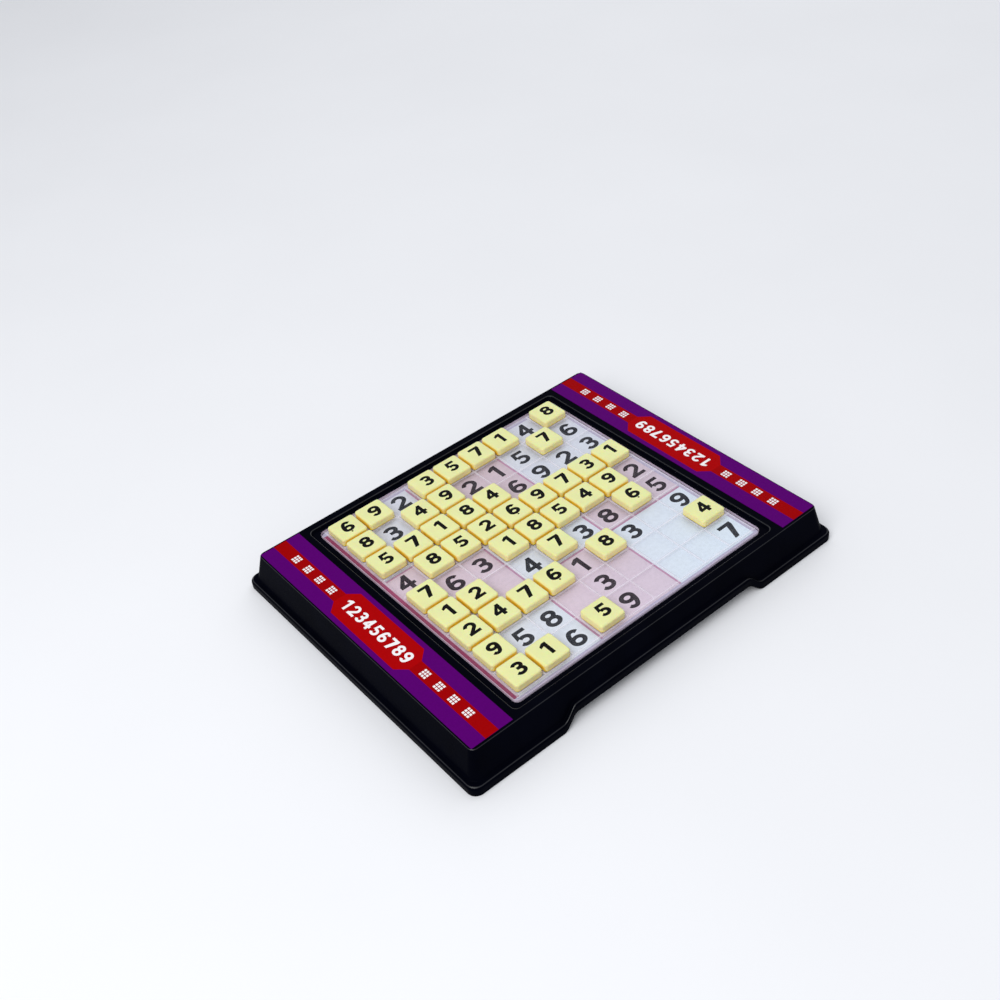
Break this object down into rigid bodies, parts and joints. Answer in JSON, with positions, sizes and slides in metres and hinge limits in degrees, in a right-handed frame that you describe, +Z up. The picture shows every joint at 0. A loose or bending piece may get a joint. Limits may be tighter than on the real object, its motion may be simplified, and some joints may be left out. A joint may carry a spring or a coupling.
{
  "type": "sudoku board",
  "caption": "Table-top sudoku board: black tray with finger arches, end labels, a puzzle card under a clear grid plate, and loose number tiles in its cells.",
  "frame": {"origin": "middle of the tray's outline at the level of the table", "axes": "+X along the long sides to the reader's right, +Y away from the reader, +Z up"},
  "size_m": [0.1904, 0.1524, 0.0201],
  "materials": {
    "tray_plastic": "satin moulded black plastic",
    "label_print": "glossy printed label, purple with a red band",
    "card_print": "printed card, pale blue and pink boxes",
    "clear_plastic": "clear moulded plastic, slightly frosted",
    "tile_plastic": "pale yellow moulded plastic with a black printed number"
  },
  "bodies": {
    "tray": {"tray": "tray_plastic", "label_left": "label_print", "label_right": "label_print"},
    "card": {"puzzle_card": "card_print"},
    "plate": {"grid_plate": "clear_plastic"},
    "tile_r1c1": {"tile_r1c1": "tile_plastic"},
    "tile_r1c2": {"tile_r1c2": "tile_plastic"},
    "tile_r1c4": {"tile_r1c4": "tile_plastic"},
    "tile_r1c5": {"tile_r1c5": "tile_plastic"},
    "tile_r1c6": {"tile_r1c6": "tile_plastic"},
    "tile_r1c7": {"tile_r1c7": "tile_plastic"},
    "tile_r1c9": {"tile_r1c9": "tile_plastic"},
    "tile_r2c1": {"tile_r2c1": "tile_plastic"},
    "tile_r2c3": {"tile_r2c3": "tile_plastic"},
    "tile_r2c4": {"tile_r2c4": "tile_plastic"},
    "tile_r2c8": {"tile_r2c8": "tile_plastic"},
    "tile_r3c1": {"tile_r3c1": "tile_plastic"},
    "tile_r3c2": {"tile_r3c2": "tile_plastic"},
    "tile_r3c3": {"tile_r3c3": "tile_plastic"},
    "tile_r3c4": {"tile_r3c4": "tile_plastic"},
    "tile_r3c5": {"tile_r3c5": "tile_plastic"},
    "tile_r4c2": {"tile_r4c2": "tile_plastic"},
    "tile_r4c3": {"tile_r4c3": "tile_plastic"},
    "tile_r4c4": {"tile_r4c4": "tile_plastic"},
    "tile_r4c5": {"tile_r4c5": "tile_plastic"},
    "tile_r4c6": {"tile_r4c6": "tile_plastic"},
    "tile_r4c7": {"tile_r4c7": "tile_plastic"},
    "tile_r4c8": {"tile_r4c8": "tile_plastic"},
    "tile_r4c9": {"tile_r4c9": "tile_plastic"},
    "tile_r5c1": {"tile_r5c1": "tile_plastic"},
    "tile_r5c4": {"tile_r5c4": "tile_plastic"},
    "tile_r5c5": {"tile_r5c5": "tile_plastic"},
    "tile_r5c6": {"tile_r5c6": "tile_plastic"},
    "tile_r5c7": {"tile_r5c7": "tile_plastic"},
    "tile_r5c8": {"tile_r5c8": "tile_plastic"},
    "tile_r6c1": {"tile_r6c1": "tile_plastic"},
    "tile_r6c2": {"tile_r6c2": "tile_plastic"},
    "tile_r6c5": {"tile_r6c5": "tile_plastic"},
    "tile_r6c8": {"tile_r6c8": "tile_plastic"},
    "tile_r7c1": {"tile_r7c1": "tile_plastic"},
    "tile_r7c2": {"tile_r7c2": "tile_plastic"},
    "tile_r7c3": {"tile_r7c3": "tile_plastic"},
    "tile_r7c4": {"tile_r7c4": "tile_plastic"},
    "tile_r7c6": {"tile_r7c6": "tile_plastic"},
    "tile_r8c1": {"tile_r8c1": "tile_plastic"},
    "tile_r8c9": {"tile_r8c9": "tile_plastic"},
    "tile_r9c1": {"tile_r9c1": "tile_plastic"},
    "tile_r9c2": {"tile_r9c2": "tile_plastic"},
    "tile_r9c4": {"tile_r9c4": "tile_plastic"}
  },
  "joints": [
    {"name": "card_lift", "type": "slide", "parent": "tray", "child": "card", "axis": [0, 0, 1], "range_m": [0, 0.015]},
    {"name": "plate_lift", "type": "slide", "parent": "tray", "child": "plate", "axis": [0, 0, 1], "range_m": [0, 0.03]},
    {"name": "tile_r1c1_lift", "type": "slide", "parent": "plate", "child": "tile_r1c1", "axis": [0, 0, 1], "range_m": [0, 0.02]},
    {"name": "tile_r1c2_lift", "type": "slide", "parent": "plate", "child": "tile_r1c2", "axis": [0, 0, 1], "range_m": [0, 0.02]},
    {"name": "tile_r1c4_lift", "type": "slide", "parent": "plate", "child": "tile_r1c4", "axis": [0, 0, 1], "range_m": [0, 0.02]},
    {"name": "tile_r1c5_lift", "type": "slide", "parent": "plate", "child": "tile_r1c5", "axis": [0, 0, 1], "range_m": [0, 0.02]},
    {"name": "tile_r1c6_lift", "type": "slide", "parent": "plate", "child": "tile_r1c6", "axis": [0, 0, 1], "range_m": [0, 0.02]},
    {"name": "tile_r1c7_lift", "type": "slide", "parent": "plate", "child": "tile_r1c7", "axis": [0, 0, 1], "range_m": [0, 0.02]},
    {"name": "tile_r1c9_lift", "type": "slide", "parent": "plate", "child": "tile_r1c9", "axis": [0, 0, 1], "range_m": [0, 0.02]},
    {"name": "tile_r2c1_lift", "type": "slide", "parent": "plate", "child": "tile_r2c1", "axis": [0, 0, 1], "range_m": [0, 0.02]},
    {"name": "tile_r2c3_lift", "type": "slide", "parent": "plate", "child": "tile_r2c3", "axis": [0, 0, 1], "range_m": [0, 0.02]},
    {"name": "tile_r2c4_lift", "type": "slide", "parent": "plate", "child": "tile_r2c4", "axis": [0, 0, 1], "range_m": [0, 0.02]},
    {"name": "tile_r2c8_lift", "type": "slide", "parent": "plate", "child": "tile_r2c8", "axis": [0, 0, 1], "range_m": [0, 0.02]},
    {"name": "tile_r3c1_lift", "type": "slide", "parent": "plate", "child": "tile_r3c1", "axis": [0, 0, 1], "range_m": [0, 0.02]},
    {"name": "tile_r3c2_lift", "type": "slide", "parent": "plate", "child": "tile_r3c2", "axis": [0, 0, 1], "range_m": [0, 0.02]},
    {"name": "tile_r3c3_lift", "type": "slide", "parent": "plate", "child": "tile_r3c3", "axis": [0, 0, 1], "range_m": [0, 0.02]},
    {"name": "tile_r3c4_lift", "type": "slide", "parent": "plate", "child": "tile_r3c4", "axis": [0, 0, 1], "range_m": [0, 0.02]},
    {"name": "tile_r3c5_lift", "type": "slide", "parent": "plate", "child": "tile_r3c5", "axis": [0, 0, 1], "range_m": [0, 0.02]},
    {"name": "tile_r4c2_lift", "type": "slide", "parent": "plate", "child": "tile_r4c2", "axis": [0, 0, 1], "range_m": [0, 0.02]},
    {"name": "tile_r4c3_lift", "type": "slide", "parent": "plate", "child": "tile_r4c3", "axis": [0, 0, 1], "range_m": [0, 0.02]},
    {"name": "tile_r4c4_lift", "type": "slide", "parent": "plate", "child": "tile_r4c4", "axis": [0, 0, 1], "range_m": [0, 0.02]},
    {"name": "tile_r4c5_lift", "type": "slide", "parent": "plate", "child": "tile_r4c5", "axis": [0, 0, 1], "range_m": [0, 0.02]},
    {"name": "tile_r4c6_lift", "type": "slide", "parent": "plate", "child": "tile_r4c6", "axis": [0, 0, 1], "range_m": [0, 0.02]},
    {"name": "tile_r4c7_lift", "type": "slide", "parent": "plate", "child": "tile_r4c7", "axis": [0, 0, 1], "range_m": [0, 0.02]},
    {"name": "tile_r4c8_lift", "type": "slide", "parent": "plate", "child": "tile_r4c8", "axis": [0, 0, 1], "range_m": [0, 0.02]},
    {"name": "tile_r4c9_lift", "type": "slide", "parent": "plate", "child": "tile_r4c9", "axis": [0, 0, 1], "range_m": [0, 0.02]},
    {"name": "tile_r5c1_lift", "type": "slide", "parent": "plate", "child": "tile_r5c1", "axis": [0, 0, 1], "range_m": [0, 0.02]},
    {"name": "tile_r5c4_lift", "type": "slide", "parent": "plate", "child": "tile_r5c4", "axis": [0, 0, 1], "range_m": [0, 0.02]},
    {"name": "tile_r5c5_lift", "type": "slide", "parent": "plate", "child": "tile_r5c5", "axis": [0, 0, 1], "range_m": [0, 0.02]},
    {"name": "tile_r5c6_lift", "type": "slide", "parent": "plate", "child": "tile_r5c6", "axis": [0, 0, 1], "range_m": [0, 0.02]},
    {"name": "tile_r5c7_lift", "type": "slide", "parent": "plate", "child": "tile_r5c7", "axis": [0, 0, 1], "range_m": [0, 0.02]},
    {"name": "tile_r5c8_lift", "type": "slide", "parent": "plate", "child": "tile_r5c8", "axis": [0, 0, 1], "range_m": [0, 0.02]},
    {"name": "tile_r6c1_lift", "type": "slide", "parent": "plate", "child": "tile_r6c1", "axis": [0, 0, 1], "range_m": [0, 0.02]},
    {"name": "tile_r6c2_lift", "type": "slide", "parent": "plate", "child": "tile_r6c2", "axis": [0, 0, 1], "range_m": [0, 0.02]},
    {"name": "tile_r6c5_lift", "type": "slide", "parent": "plate", "child": "tile_r6c5", "axis": [0, 0, 1], "range_m": [0, 0.02]},
    {"name": "tile_r6c8_lift", "type": "slide", "parent": "plate", "child": "tile_r6c8", "axis": [0, 0, 1], "range_m": [0, 0.02]},
    {"name": "tile_r7c1_lift", "type": "slide", "parent": "plate", "child": "tile_r7c1", "axis": [0, 0, 1], "range_m": [0, 0.02]},
    {"name": "tile_r7c2_lift", "type": "slide", "parent": "plate", "child": "tile_r7c2", "axis": [0, 0, 1], "range_m": [0, 0.02]},
    {"name": "tile_r7c3_lift", "type": "slide", "parent": "plate", "child": "tile_r7c3", "axis": [0, 0, 1], "range_m": [0, 0.02]},
    {"name": "tile_r7c4_lift", "type": "slide", "parent": "plate", "child": "tile_r7c4", "axis": [0, 0, 1], "range_m": [0, 0.02]},
    {"name": "tile_r7c6_lift", "type": "slide", "parent": "plate", "child": "tile_r7c6", "axis": [0, 0, 1], "range_m": [0, 0.02]},
    {"name": "tile_r8c1_lift", "type": "slide", "parent": "plate", "child": "tile_r8c1", "axis": [0, 0, 1], "range_m": [0, 0.02]},
    {"name": "tile_r8c9_lift", "type": "slide", "parent": "plate", "child": "tile_r8c9", "axis": [0, 0, 1], "range_m": [0, 0.02]},
    {"name": "tile_r9c1_lift", "type": "slide", "parent": "plate", "child": "tile_r9c1", "axis": [0, 0, 1], "range_m": [0, 0.02]},
    {"name": "tile_r9c2_lift", "type": "slide", "parent": "plate", "child": "tile_r9c2", "axis": [0, 0, 1], "range_m": [0, 0.02]},
    {"name": "tile_r9c4_lift", "type": "slide", "parent": "plate", "child": "tile_r9c4", "axis": [0, 0, 1], "range_m": [0, 0.02]}
  ],
  "couplings": [
    {"joint": "card_lift", "follows": "plate_lift", "ratio": 0.5}
  ]
}
